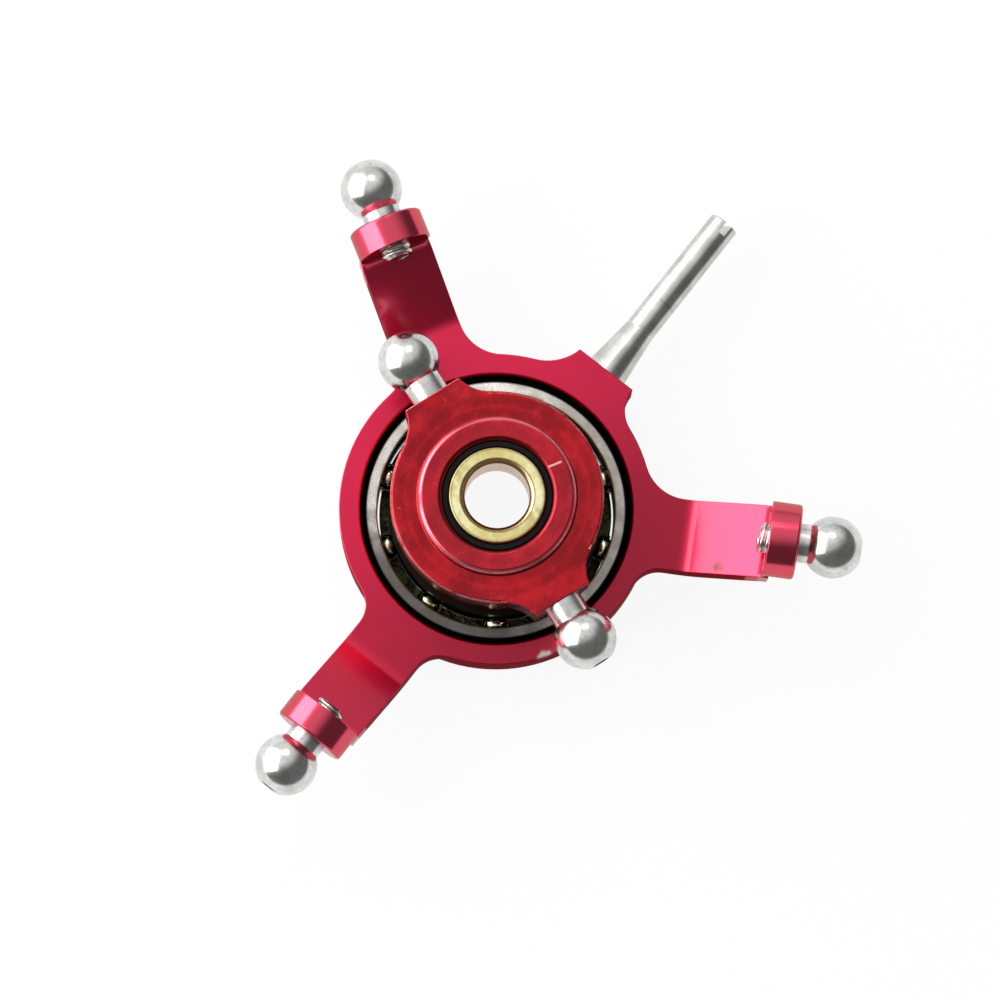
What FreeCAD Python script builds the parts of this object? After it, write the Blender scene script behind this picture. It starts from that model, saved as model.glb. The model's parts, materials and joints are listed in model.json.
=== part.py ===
import FreeCAD, Part
import Sketcher
import math
import os

# Swashplate of a small model helicopter, millimetres.
# Z runs up the mast, the origin is the centre of the tilting ball.
# The anti-rotation pin points along -Y and the three control arms stand at 90, 210 and 330 degrees.

doc = FreeCAD.newDocument("Swashplate")
sheet = doc.addObject("Spreadsheet::Sheet", "Sizes")


class Term:
    """A length that knows its value and the spreadsheet formula it comes from."""

    def __init__(self, value, text):
        self.value = value
        self.text = text

    def join(self, other, sign, value):
        return Term(value, "(" + self.text + sign + other.text + ")")

    def __add__(self, other):
        other = term(other)
        return self.join(other, " + ", self.value + other.value)

    def __sub__(self, other):
        other = term(other)
        return self.join(other, " - ", self.value - other.value)

    def __mul__(self, other):
        other = term(other)
        return self.join(other, " * ", self.value * other.value)

    def __truediv__(self, other):
        other = term(other)
        return self.join(other, " / ", self.value / other.value)

    def __neg__(self):
        return Term(-self.value, "(0 - " + self.text + ")")


def term(thing):
    if isinstance(thing, Term):
        return thing
    return Term(float(thing), repr(float(thing)))


def root(square):
    return Term(math.sqrt(square.value), "sqrt(" + square.text + ")")


def cosine(angle):
    return Term(math.cos(math.radians(angle.value)), "cos(" + angle.text + ")")


def sine(angle):
    return Term(math.sin(math.radians(angle.value)), "sin(" + angle.text + ")")


def leg(hypotenuse, side):
    """The other short side of a right triangle."""
    return root(hypotenuse * hypotenuse - side * side)


row = 0


def size(alias, number, note):
    """Write one driving size to the sheet and hand back its term."""
    global row
    row += 1
    cell = "A" + str(row)
    sheet.set(cell, str(number))
    sheet.setAlias(cell, alias)
    sheet.set("B" + str(row), note)
    return Term(float(number), "Sizes." + alias)


# Heights
plate_top = size("plate_top", -4.7, "top face of the fixed star")
plate_thick = size("plate_thick", 3.4, "thickness of the star's ring")
arm_thick = size("arm_thick", 2.3, "thickness of the arms")
housing_bottom = size("housing_bottom", -10.4, "lowest face of the bearing housing")
flange_top = size("flange_top", 1.55, "top face of the rotating flange")
flange_thick = size("flange_thick", 2.4, "thickness of the rotating flange")
ear_thick = size("ear_thick", 3.3, "thickness of the two ears")
hub_top = size("hub_top", 2.35, "top face of the hub ring")
sleeve_bottom = size("sleeve_bottom", -10.2, "lower end of the rotating sleeve")

# Fixed star
ring_wall = size("ring_wall", 1.65, "wall of the star's ring round the bearing")
housing_wall = size("housing_wall", 1.0, "wall of the housing under the ring")
lip_width = size("lip_width", 0.8, "width of the lip under the bearing")
arm_width = size("arm_width", 5.65, "width of an arm")
arm_level = size("arm_level", 2.85, "level stretch of an arm from the ring to its bend")
arm_drop = size("arm_drop", 1.8, "from a stud's axis down to the arm at the boss")
arm_landing = size("arm_landing", 0.5, "level end of an arm in front of the boss")
arm_tuck = size("arm_tuck", 0.5, "how far an arm runs in under the boss")
root_lap = size("root_lap", 1.0, "how far an arm's section starts inside the ring")
bend_blend = size("bend_blend", 2.4, "radius on the hollow side of the bend")
boss_back = size("boss_back", 5.0, "from the ball's centre in to the boss's inner face")
boss_thick = size("boss_thick", 2.3, "thickness of a ball boss")
boss_radius = size("boss_radius", 2.9, "radius of a ball boss")
arm_toe = size("arm_toe", 0.8, "bevel under the arm where it meets the boss")
root_blend = size("root_blend", 2.25, "blend at the arm roots away from the pin")
root_blend_pin = size("root_blend_pin", 3.5, "blend at the arm roots towards the pin")
pin_boss_reach = size("pin_boss_reach", 1.75, "from the ring's edge out to the pin's flat")
pin_face_half = size("pin_face_half", 2.6, "half the width of the pin's flat")
notch_left = size("notch_left", 4.0, "radius of the notch towards the arm at 330 degrees")
notch_right = size("notch_right", 2.6, "radius of the notch towards the arm at 210 degrees")
edge_break = size("edge_break", 0.15, "broken edges of turned faces")

# Ball bearing
bearing_bore = size("bearing_bore", 15.0, "bore diameter of the bearing")
bearing_outside = size("bearing_outside", 21.0, "outside diameter of the bearing")
bearing_width = size("bearing_width", 4.0, "width of the bearing")
bearing_recess = size("bearing_recess", 0.55, "depth of the bearing below the star's face")
race_ball = size("race_ball", 1.8, "diameter of a bearing ball")
pitch_inset = size("pitch_inset", 0.2, "ball circle inside the middle of the bearing")
race_ball_count = size("race_ball_count", 10, "number of bearing balls")
first_race_ball = size("first_race_ball", 19.8, "angle of the first bearing ball")
groove_ease = size("groove_ease", 0.04, "how much rounder the grooves are than the balls")
inner_shoulder = size("inner_shoulder", 0.55, "from the ball circle in to the inner race's shoulder")
outer_shoulder = size("outer_shoulder", 0.4, "from the ball circle out to the outer race's shoulder")
race_corner = size("race_corner", 0.45, "chamfer on the outer race")
race_fall = size("race_fall", 0.12, "fall of the outer race's face towards its chamfer")
inner_corner = size("inner_corner", 0.2, "chamfer in the bore of the inner race")
ball_play = size("ball_play", 0.02, "play of the balls in the grooves")
cage_wall = size("cage_wall", 0.16, "wall of the cups round the balls")
cage_play = size("cage_play", 0.04, "play of a ball in its cup")
cage_land_gap = size("cage_land_gap", 0.08, "gap between the cage and the races")
cage_band = size("cage_band", 0.45, "height of the cage's band")
cage_band_width = size("cage_band_width", 0.72, "width of the cage's band")
cage_floor = size("cage_floor", 0.1, "gap between the balls and the cage's band")
cage_reach = size("cage_reach", 0.3, "height of the cups above the ball centres")

# Rotating star
flange_radius = size("flange_radius", 8.2, "radius of the rotating flange")
ear_reach = size("ear_reach", 1.16, "from the flange's edge out to the ear flats")
ear_half = size("ear_half", 2.42, "half the width of an ear flat")
ear_blend = size("ear_blend", 3.2, "radius of the hollows beside the ears")
ear_angle = size("ear_angle", -19.6, "angle of the first ear")
hub_radius = size("hub_radius", 6.1, "outer radius of the raised hub ring")
hub_break = size("hub_break", 0.3, "bevels on both edges of the hub ring")
hub_inset = size("hub_inset", 0.1, "how much narrower the hub's opening is than the ball")
hub_lip = size("hub_lip", 0.65, "thickness of the lip over the seat")
neck_step = size("neck_step", 0.35, "from the inner race's shoulder in to the neck")
sleeve_step = size("sleeve_step", 0.3, "step from the lock ring's thread to the sleeve's bore")
sleeve_chamfer = size("sleeve_chamfer", 0.3, "chamfer at the end of the sleeve")
clip_thick = size("clip_thick", 0.6, "thickness of the snap ring")
clip_depth = size("clip_depth", 0.4, "depth of the snap ring groove")
clip_cover = size("clip_cover", 0.25, "how far the snap ring stands out past the inner race's shoulder")
clip_waist = size("clip_waist", 3.75, "inner end of the cut that opens the snap ring")
clip_gap = size("clip_gap", 3.0, "opening between the ends of the snap ring")

# Tilting ball and its seat
ball_radius = size("ball_radius", 4.3, "radius of the tilting ball")
flat_height = size("flat_height", 2.27, "height of the tilting ball's flats above its centre")
shaft_bore = size("shaft_bore", 5.0, "bore for the mast")
bore_chamfer = size("bore_chamfer", 0.32, "chamfer at the ends of the bore")
seat_wall = size("seat_wall", 0.8, "wall of the plastic seats beside the ball")
seat_top = size("seat_top", 2.05, "upper end of the upper seat")
seat_play = size("seat_play", 0.03, "play between ball and seats")
ring_step = size("ring_step", 0.3, "from the seats out to the lock ring's thread")
ring_height = size("ring_height", 1.7, "height of the lock ring")
ring_rim = size("ring_rim", 0.5, "rim of the lock ring round its lower opening")
key_width = size("key_width", 1.2, "width of the key slots in the lock ring")
key_depth = size("key_depth", 0.7, "depth of the key slots in the lock ring")

# Ball studs and anti-rotation pin
link_ball = size("link_ball", 4.75, "diameter of a link ball")
link_flat = size("link_flat", 0.95, "radius of the flat on a link ball")
arm_ball_radius = size("arm_ball_radius", 26.0, "ball centres of the arms from the axis")
ear_ball_radius = size("ear_ball_radius", 12.7, "ball centres of the ears from the axis")
stud_thread = size("stud_thread", 1.25, "thread radius of the studs")
thread_play = size("thread_play", 0.02, "play of the threads in their holes")
collar_radius = size("collar_radius", 1.5, "radius of the stud collars")
thread_depth = size("thread_depth", 0.2, "depth of the thread on the tips in sight")
tip_proud = size("tip_proud", 0.7, "how far an arm stud's tip stands out of its boss")
ear_thread = size("ear_thread", 2.2, "length of an ear stud's thread")
hole_spare = size("hole_spare", 0.4, "spare depth of an ear's hole")
tip_chamfer = size("tip_chamfer", 0.2, "chamfer of the thread ends")
hex_across = size("hex_across", 1.3, "hexagon socket across flats")
hex_depth = size("hex_depth", 1.3, "depth of the hexagon socket")
pin_root = size("pin_root", 1.68, "radius of the pin at the star")
pin_radius = size("pin_radius", 1.2, "radius of the parallel part of the pin")
pin_cone = size("pin_cone", 4.3, "length of the pin's cone")
pin_length = size("pin_length", 15.1, "length of the pin outside the star")
pin_thread = size("pin_thread", 2.8, "length of the pin's thread in the star")
slot_width = size("slot_width", 0.6, "width of the screwdriver slot")
slot_depth = size("slot_depth", 1.0, "depth of the screwdriver slot")
slot_turn = size("slot_turn", 20.0, "turn of the screwdriver slot from upright")
fit_play = size("fit_play", 0.01, "play of parts pushed together")

doc.recompute()
zero = term(0)

# Places that follow from the sizes, from the axis outward
inner_radius = bearing_bore / 2
outer_radius = bearing_outside / 2
race_pitch = (inner_radius + outer_radius) / 2 - pitch_inset
inner_land = race_pitch - inner_shoulder
outer_land = race_pitch + outer_shoulder
neck_radius = inner_land - neck_step
clip_outer = inner_land + clip_cover
lip_radius = outer_radius - lip_width
housing_radius = outer_radius + housing_wall
ring_radius = outer_radius + ring_wall
hub_hole = ball_radius - hub_inset
seat_radius = ball_radius + seat_wall
ring_thread = seat_radius + ring_step
sleeve_bore = ring_thread + sleeve_step
ear_face = flange_radius + ear_reach
ear_stud_tip = ear_face - ear_thread
pin_face = ring_radius + pin_boss_reach
boss_inner = arm_ball_radius - boss_back
boss_outer = boss_inner + boss_thick


# ---- helpers for bodies, sketches and features ----

def new_body(label):
    body = doc.addObject("PartDesign::Body", label)
    body.Label = label
    body.Placement = FreeCAD.Placement()
    return body


def about_z(angle):
    return FreeCAD.Rotation(FreeCAD.Vector(0, 0, 1), angle.value)


def turn_body(body, angle):
    """Turn a body about Z by an angle that stays tied to the sheet."""
    body.Placement.Rotation = about_z(angle)
    body.setExpression("Placement.Rotation.Angle", angle.text)


def origin_part(body, role):
    for item in body.Origin.OriginFeatures:
        if item.Role == role:
            return item
    raise RuntimeError("no " + role)


def new_sketch(body, name, plane, height=None, turned=None):
    """Sketch on a base plane of its body, lifted off the plane and turned in it."""
    sketch = body.newObject("Sketcher::SketchObject", name)
    sketch.AttachmentSupport = (origin_part(body, plane), "")
    sketch.MapMode = "FlatFace"
    if turned is not None:
        sketch.AttachmentOffset = FreeCAD.Placement(FreeCAD.Vector(), about_z(turned))
        sketch.setExpression("AttachmentOffset.Rotation.Angle", turned.text)
    if height is not None:
        sketch.setExpression("AttachmentOffset.Base.z", height.text)
    return sketch


def pin_point(sketch, geometry, point, across, up):
    """Fix one point of a sketch by its two coordinates."""
    if across is zero:
        sketch.addConstraint(Sketcher.Constraint("PointOnObject", geometry, point, -2))
    else:
        number = sketch.addConstraint(
            Sketcher.Constraint("DistanceX", -1, 1, geometry, point, across.value)
        )
        sketch.setExpression("Constraints[" + str(number) + "]", across.text)
    if up is zero:
        sketch.addConstraint(Sketcher.Constraint("PointOnObject", geometry, point, -1))
    else:
        number = sketch.addConstraint(
            Sketcher.Constraint("DistanceY", -1, 1, geometry, point, up.value)
        )
        sketch.setExpression("Constraints[" + str(number) + "]", up.text)


def outline(sketch, corners):
    """Closed outline of corners (x, y).

    A corner is (x, y, centre_x, centre_y, turn) when an arc leads on from it.
    """
    count = len(corners)
    first = sketch.GeometryCount
    ends = []
    for index in range(count):
        here = corners[index]
        there = corners[(index + 1) % count]
        start = FreeCAD.Vector(here[0].value, here[1].value, 0)
        end = FreeCAD.Vector(there[0].value, there[1].value, 0)
        if len(here) == 2:
            sketch.addGeometry(Part.LineSegment(start, end), False)
            ends.append((1, 2))
            continue
        centre = FreeCAD.Vector(here[2].value, here[3].value, 0)
        radius = (start - centre).Length
        start_angle = math.atan2(start.y - centre.y, start.x - centre.x)
        end_angle = math.atan2(end.y - centre.y, end.x - centre.x)
        circle = Part.Circle(centre, FreeCAD.Vector(0, 0, 1), radius)
        if here[4] > 0:
            sketch.addGeometry(Part.ArcOfCircle(circle, start_angle, end_angle), False)
            ends.append((1, 2))
        else:
            sketch.addGeometry(Part.ArcOfCircle(circle, end_angle, start_angle), False)
            ends.append((2, 1))
    for index in range(count):
        after = (index + 1) % count
        sketch.addConstraint(
            Sketcher.Constraint("Coincident", first + index, ends[index][1], first + after, ends[after][0])
        )
    for index in range(count):
        corner = corners[index]
        pin_point(sketch, first + index, ends[index][0], corner[0], corner[1])
        if len(corner) > 2:
            reach = root(
                (corner[0] - corner[2]) * (corner[0] - corner[2])
                + (corner[1] - corner[3]) * (corner[1] - corner[3])
            )
            number = sketch.addConstraint(Sketcher.Constraint("Radius", first + index, reach.value))
            sketch.setExpression("Constraints[" + str(number) + "]", reach.text)


def add_circle(sketch, across, up, radius):
    """Circle fixed by its centre and its radius."""
    place = FreeCAD.Vector(across.value, up.value, 0)
    number = sketch.addGeometry(Part.Circle(place, FreeCAD.Vector(0, 0, 1), radius.value), False)
    pin_point(sketch, number, 3, across, up)
    number = sketch.addConstraint(Sketcher.Constraint("Radius", number, radius.value))
    sketch.setExpression("Constraints[" + str(number) + "]", radius.text)


def pad(body, name, sketch, depth, backwards=False, middle=False):
    feature = body.newObject("PartDesign::Pad", name)
    feature.Profile = sketch
    feature.setExpression("Length", depth.text)
    feature.Reversed = backwards
    if middle:
        feature.SideType = "Symmetric"
    body.Tip = feature
    return feature


def pocket(body, name, sketch, depth, backwards=False, middle=False):
    feature = body.newObject("PartDesign::Pocket", name)
    feature.Profile = sketch
    feature.setExpression("Length", depth.text)
    feature.Reversed = backwards
    if middle:
        feature.SideType = "Symmetric"
    body.Tip = feature
    return feature


def turn(body, name, sketch, axis, kind="PartDesign::Revolution"):
    feature = body.newObject(kind, name)
    feature.Profile = sketch
    feature.ReferenceAxis = (sketch, [axis])
    feature.Angle = 360
    body.Tip = feature
    return feature


def polar(body, name, originals, count):
    feature = body.newObject("PartDesign::PolarPattern", name)
    feature.Originals = originals
    feature.Axis = (origin_part(body, "Z_Axis"), [""])
    feature.Angle = 360
    feature.setExpression("Occurrences", count.text)
    body.Tip = feature
    return feature


def chamfer(body, name, base, edges, amount):
    feature = body.newObject("PartDesign::Chamfer", name)
    feature.Base = (base, edges)
    feature.setExpression("Size", amount.text)
    body.Tip = feature
    return feature


def circular_edges(feature, test):
    """Names of the full circles of a feature that pass a test on their centre and radius."""
    names = []
    for number, edge in enumerate(feature.Shape.Edges, 1):
        if isinstance(edge.Curve, Part.Circle) and edge.isClosed():
            if test(edge.Curve.Center, edge.Curve.Radius):
                names.append("Edge" + str(number))
    return names


def near(first, second):
    return abs(first - second) < 1e-3


# ---- fixed star ----

def notch_centre(ring, blend, corner_x, corner_y):
    """Centre of a circle that touches a ring from outside and passes through a corner."""
    corner_square = corner_x * corner_x + corner_y * corner_y
    corner_reach = root(corner_square)
    reach = ring + blend
    along = (reach * reach + corner_square - blend * blend) / (corner_reach * 2)
    aside = leg(reach, along)
    across = (corner_x * along + corner_y * aside) / corner_reach
    up = (corner_y * along - corner_x * aside) / corner_reach
    return across, up


def touch_point(ring, blend, across, up):
    """Where a blend circle touches the ring."""
    share = ring / (ring + blend)
    return across * share, up * share


fixed_star = new_body("outer_star")
plate_level = plate_top

# The boss for the pin stands at -Y; its two notches have different radii.
left_across, left_up = notch_centre(ring_radius, notch_left, pin_face_half, pin_face)
right_across, right_up = notch_centre(ring_radius, notch_right, pin_face_half, pin_face)
left_touch = touch_point(ring_radius, notch_left, left_across, left_up)
right_touch = touch_point(ring_radius, notch_right, right_across, right_up)
ring_sketch = new_sketch(fixed_star, "RingOutline", "XY_Plane", plate_level)
outline(
    ring_sketch,
    [
        (left_touch[0], -left_touch[1], zero, zero, 1),
        (-right_touch[0], -right_touch[1], -right_across, -right_up, -1),
        (-pin_face_half, -pin_face),
        (pin_face_half, -pin_face, left_across, -left_up, -1),
    ],
)
pad(fixed_star, "Ring", ring_sketch, plate_thick, True)

housing_sketch = new_sketch(fixed_star, "HousingOutline", "XY_Plane", plate_level - plate_thick)
add_circle(housing_sketch, zero, zero, housing_radius)
pad(fixed_star, "Housing", housing_sketch, plate_level - plate_thick - housing_bottom, True)

half_width = arm_width / 2


def arm_root(name, turned, right_blend, left_blend):
    """Root of one arm with its two blends, drawn along +Y and turned into place."""
    right_reach = leg(ring_radius + right_blend, half_width + right_blend)
    left_reach = leg(ring_radius + left_blend, half_width + left_blend)
    right = touch_point(ring_radius, right_blend, half_width + right_blend, right_reach)
    left = touch_point(ring_radius, left_blend, half_width + left_blend, left_reach)
    sketch = new_sketch(fixed_star, name + "Outline", "XY_Plane", plate_level, term(turned))
    outline(
        sketch,
        [
            (right[0], right[1], half_width + right_blend, right_reach, -1),
            (half_width, right_reach),
            (-half_width, left_reach, -(half_width + left_blend), left_reach, -1),
            (-left[0], left[1]),
        ],
    )
    pad(fixed_star, name, sketch, arm_thick, True)


arm_root("RootFar", 0, root_blend, root_blend)
arm_root("RootLeft", 120, root_blend, root_blend_pin)
arm_root("RootRight", 240, root_blend_pin, root_blend)

# The raised part climbs from the bend to the landing. The sine, cosine and half tangent of its
# slope come from that run and rise, so the arm always meets its boss at the same height.
bend_radius = ring_radius + arm_level
landing_start = boss_inner - arm_landing
arm_end_top = -arm_drop
arm_run = landing_start - bend_radius
arm_rise = arm_end_top - plate_level
arm_climb = root(arm_run * arm_run + arm_rise * arm_rise)
rise_sine = arm_rise / arm_climb
rise_cosine = arm_run / arm_climb
half_tangent = (arm_climb - arm_run) / arm_rise
slope = arm_rise / arm_run
outer_blend = bend_blend + arm_thick
bend_start = bend_radius - bend_blend * half_tangent
bend_end = bend_radius + bend_blend * half_tangent * rise_cosine
bend_end_up = plate_level + bend_blend * half_tangent * rise_sine
arm_start = ring_radius - root_lap
arm_end = boss_inner + arm_tuck
arm_end_bottom = arm_end_top + (boss_inner - landing_start) * slope - arm_thick / rise_cosine
arm_sketch = new_sketch(fixed_star, "ArmSide", "YZ_Plane")
outline(
    arm_sketch,
    [
        (arm_start, plate_level - arm_thick),
        (bend_start, plate_level - arm_thick, bend_start, plate_level + bend_blend, 1),
        (
            bend_start + outer_blend * rise_sine,
            plate_level + bend_blend - outer_blend * rise_cosine,
        ),
        (boss_inner - arm_toe, arm_end_bottom - arm_toe * slope),
        (arm_end, arm_end_bottom + arm_toe * slope),
        (arm_end, arm_end_top),
        (landing_start, arm_end_top),
        (bend_end, bend_end_up, bend_start, plate_level + bend_blend, -1),
        (bend_start, plate_level),
        (arm_start, plate_level),
    ],
)
arm_pad = pad(fixed_star, "Arm", arm_sketch, arm_width, False, True)

boss_sketch = new_sketch(fixed_star, "BossOutline", "XZ_Plane", -boss_inner)
add_circle(boss_sketch, zero, zero, boss_radius)
boss_pad = pad(fixed_star, "Boss", boss_sketch, boss_thick, True)

boss_hole_sketch = new_sketch(fixed_star, "BossHoleOutline", "XZ_Plane", -boss_outer)
add_circle(boss_hole_sketch, zero, zero, stud_thread)
boss_hole = pocket(fixed_star, "BossHole", boss_hole_sketch, boss_thick, True)

polar(fixed_star, "Arms", [arm_pad, boss_pad, boss_hole], term(3))

race_top = plate_level - bearing_recess
race_bottom = race_top - bearing_width
race_middle = race_top - bearing_width / 2
seat_bore = outer_radius + fit_play
bore_sketch = new_sketch(fixed_star, "BoreOutline", "XZ_Plane")
outline(
    bore_sketch,
    [
        (zero, housing_bottom),
        (lip_radius, housing_bottom),
        (lip_radius, race_bottom),
        (seat_bore, race_bottom),
        (seat_bore, plate_level - edge_break),
        (seat_bore + edge_break, plate_level),
        (zero, plate_level),
    ],
)
turn(fixed_star, "Bore", bore_sketch, "V_Axis", "PartDesign::Groove")

pin_height = plate_level - plate_thick / 2
pin_hole_sketch = new_sketch(fixed_star, "PinHoleOutline", "XZ_Plane", pin_face)
add_circle(pin_hole_sketch, zero, pin_height, stud_thread)
pocket(fixed_star, "PinHole", pin_hole_sketch, pin_face - lip_radius)
doc.recompute()

star_solid = fixed_star.Tip
boss_edges = circular_edges(
    star_solid,
    lambda centre, radius: near(radius, boss_radius.value) and near(centre.z, 0),
)
housing_edges = circular_edges(
    star_solid,
    lambda centre, radius: near(radius, housing_radius.value) and near(centre.z, housing_bottom.value),
)
chamfer(fixed_star, "BrokenEdges", star_solid, boss_edges + housing_edges, edge_break)

# ---- ball bearing ----

race_ball_radius = race_ball / 2
groove_radius = race_ball_radius + groove_ease
outer_groove = race_pitch + race_ball_radius + ball_play - groove_radius
inner_groove = race_pitch - race_ball_radius - ball_play + groove_radius
outer_rise = leg(groove_radius, outer_land - outer_groove)
inner_rise = leg(groove_radius, inner_groove - inner_land)

outer_race = new_body("bearing_outer_race")
outer_race_sketch = new_sketch(outer_race, "OuterRaceSection", "XZ_Plane")
outline(
    outer_race_sketch,
    [
        (outer_land, race_bottom),
        (outer_radius - inner_corner, race_bottom),
        (outer_radius, race_bottom + inner_corner),
        (outer_radius, race_top - race_fall - race_corner),
        (outer_radius - race_corner, race_top - race_fall),
        (outer_land, race_top),
        (outer_land, race_middle + outer_rise, outer_groove, race_middle, -1),
        (outer_land, race_middle - outer_rise),
    ],
)
turn(outer_race, "OuterRace", outer_race_sketch, "V_Axis")

inner_race = new_body("bearing_inner_race")
inner_race_sketch = new_sketch(inner_race, "InnerRaceSection", "XZ_Plane")
outline(
    inner_race_sketch,
    [
        (inner_radius + inner_corner, race_bottom),
        (inner_land, race_bottom),
        (inner_land, race_middle - inner_rise, inner_groove, race_middle, -1),
        (inner_land, race_middle + inner_rise),
        (inner_land, race_top),
        (inner_radius + inner_corner, race_top),
        (inner_radius, race_top - inner_corner),
        (inner_radius, race_bottom + inner_corner),
    ],
)
turn(inner_race, "InnerRace", inner_race_sketch, "V_Axis")

ball_parts = []
for number in range(int(race_ball_count.value)):
    ball = doc.addObject("Part::Sphere", "RaceBall")
    angle = first_race_ball + term(360 * number) / race_ball_count
    ball.setExpression("Radius", race_ball_radius.text)
    ball.setExpression("Placement.Base.x", (race_pitch * cosine(angle)).text)
    ball.setExpression("Placement.Base.y", (race_pitch * sine(angle)).text)
    ball.setExpression("Placement.Base.z", race_middle.text)
    ball_parts.append(ball)
race_balls = doc.addObject("Part::Compound", "bearing_balls")
race_balls.Label = "bearing_balls"
race_balls.Links = ball_parts
race_balls.Placement = FreeCAD.Placement()

cage = new_body("bearing_cage")
turn_body(cage, first_race_ball)
cage_inner = inner_land + cage_land_gap
cage_outer = outer_land - cage_land_gap
band_outer = cage_inner + cage_band_width
cup_inner = race_ball_radius + cage_play
cup_outer = cup_inner + cage_wall
band_top = race_middle - race_ball_radius - cage_floor
band_bottom = band_top - cage_band
cage_top = race_middle + cage_reach
cage_sketch = new_sketch(cage, "BandSection", "XZ_Plane")
outline(
    cage_sketch,
    [
        (cage_inner, band_bottom),
        (band_outer, band_bottom),
        (band_outer, band_top),
        (cage_inner, band_top),
    ],
)
turn(cage, "Band", cage_sketch, "V_Axis")
cup_sketch = new_sketch(cage, "CupOutline", "XY_Plane", band_bottom)
add_circle(cup_sketch, race_pitch, zero, cup_outer)
add_circle(cup_sketch, race_pitch, zero, cup_inner)
cup_pad = pad(cage, "Cup", cup_sketch, cage_top - band_bottom)
polar(cage, "Cups", [cup_pad], race_ball_count)
trim_sketch = new_sketch(cage, "TrimSection", "XZ_Plane")
outline(
    trim_sketch,
    [
        (cage_outer, race_bottom),
        (outer_radius, race_bottom),
        (outer_radius, race_top),
        (cage_outer, race_top),
    ],
)
turn(cage, "OuterTrim", trim_sketch, "V_Axis", "PartDesign::Groove")
core_sketch = new_sketch(cage, "CoreSection", "XY_Plane", race_bottom)
add_circle(core_sketch, zero, zero, cage_inner)
pocket(cage, "InnerTrim", core_sketch, bearing_width, True)

# ---- rotating star ----

rotor = new_body("rotating_star")
turn_body(rotor, ear_angle)
flange_bottom = flange_top - flange_thick
sleeve_radius = inner_radius - fit_play
clip_top = race_bottom - fit_play
clip_bottom = clip_top - clip_thick
seat_hole = seat_radius + fit_play
spigot_radius = hub_hole - seat_play
seat_bottom = -seat_top
ring_bottom = seat_bottom - ring_height
lip_bottom = hub_top - hub_lip
rotor_sketch = new_sketch(rotor, "RotorSection", "XZ_Plane")
outline(
    rotor_sketch,
    [
        (hub_hole, lip_bottom),
        (seat_hole, lip_bottom),
        (seat_hole, seat_bottom),
        (ring_thread, seat_bottom),
        (ring_thread, ring_bottom - sleeve_step),
        (sleeve_bore, ring_bottom - sleeve_step * 2),
        (sleeve_bore, sleeve_bottom),
        (sleeve_radius - sleeve_chamfer, sleeve_bottom),
        (sleeve_radius, sleeve_bottom + sleeve_chamfer / 2),
        (sleeve_radius, clip_bottom - fit_play),
        (sleeve_radius - clip_depth, clip_bottom - fit_play),
        (sleeve_radius - clip_depth, race_bottom),
        (sleeve_radius, race_bottom),
        (sleeve_radius, race_top),
        (neck_radius, race_top),
        (neck_radius, flange_bottom),
        (flange_radius - edge_break, flange_bottom),
        (flange_radius, flange_bottom + edge_break),
        (flange_radius, flange_top - edge_break),
        (flange_radius - edge_break, flange_top),
        (hub_radius, flange_top),
        (hub_radius, hub_top - hub_break),
        (hub_radius - hub_break, hub_top),
        (hub_hole + hub_break, hub_top),
        (hub_hole, hub_top - hub_break),
    ],
)
turn(rotor, "Hub", rotor_sketch, "V_Axis")

ear_across, ear_up = notch_centre(flange_radius, ear_blend, ear_half, ear_face)
ear_touch = touch_point(flange_radius, ear_blend, ear_across, ear_up)
ear_sketch = new_sketch(rotor, "EarOutline", "XY_Plane", flange_top)
outline(
    ear_sketch,
    [
        (ear_touch[1], ear_touch[0]),
        (ear_touch[1], -ear_touch[0], ear_up, -ear_across, -1),
        (ear_face, -ear_half),
        (ear_face, ear_half, ear_up, ear_across, -1),
    ],
)
ear_pad = pad(rotor, "Ear", ear_sketch, ear_thick, True)
ear_hole_sketch = new_sketch(rotor, "EarHoleOutline", "YZ_Plane", ear_face)
add_circle(ear_hole_sketch, zero, zero, stud_thread)
ear_hole = pocket(rotor, "EarHole", ear_hole_sketch, ear_thread + hole_spare)
polar(rotor, "Ears", [ear_pad, ear_hole], term(2))

# ---- seats, lock ring, snap ring and tilting ball ----

seat_sphere = ball_radius + seat_play
seat_mouth = leg(seat_sphere, seat_top)
upper_seat = new_body("seat_upper")
upper_sketch = new_sketch(upper_seat, "UpperSeatSection", "XZ_Plane")
seat_step = lip_bottom - fit_play
outline(
    upper_sketch,
    [
        (seat_sphere, zero),
        (seat_radius, zero),
        (seat_radius, seat_step),
        (spigot_radius, seat_step),
        (spigot_radius, seat_top),
        (seat_mouth, seat_top, zero, zero, -1),
    ],
)
turn(upper_seat, "UpperSeat", upper_sketch, "V_Axis")

lower_seat = new_body("seat_lower")
lower_sketch = new_sketch(lower_seat, "LowerSeatSection", "XZ_Plane")
outline(
    lower_sketch,
    [
        (seat_mouth, seat_bottom),
        (seat_radius, seat_bottom),
        (seat_radius, -fit_play),
        (leg(seat_sphere, fit_play), -fit_play, zero, zero, -1),
    ],
)
turn(lower_seat, "LowerSeat", lower_sketch, "V_Axis")

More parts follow.
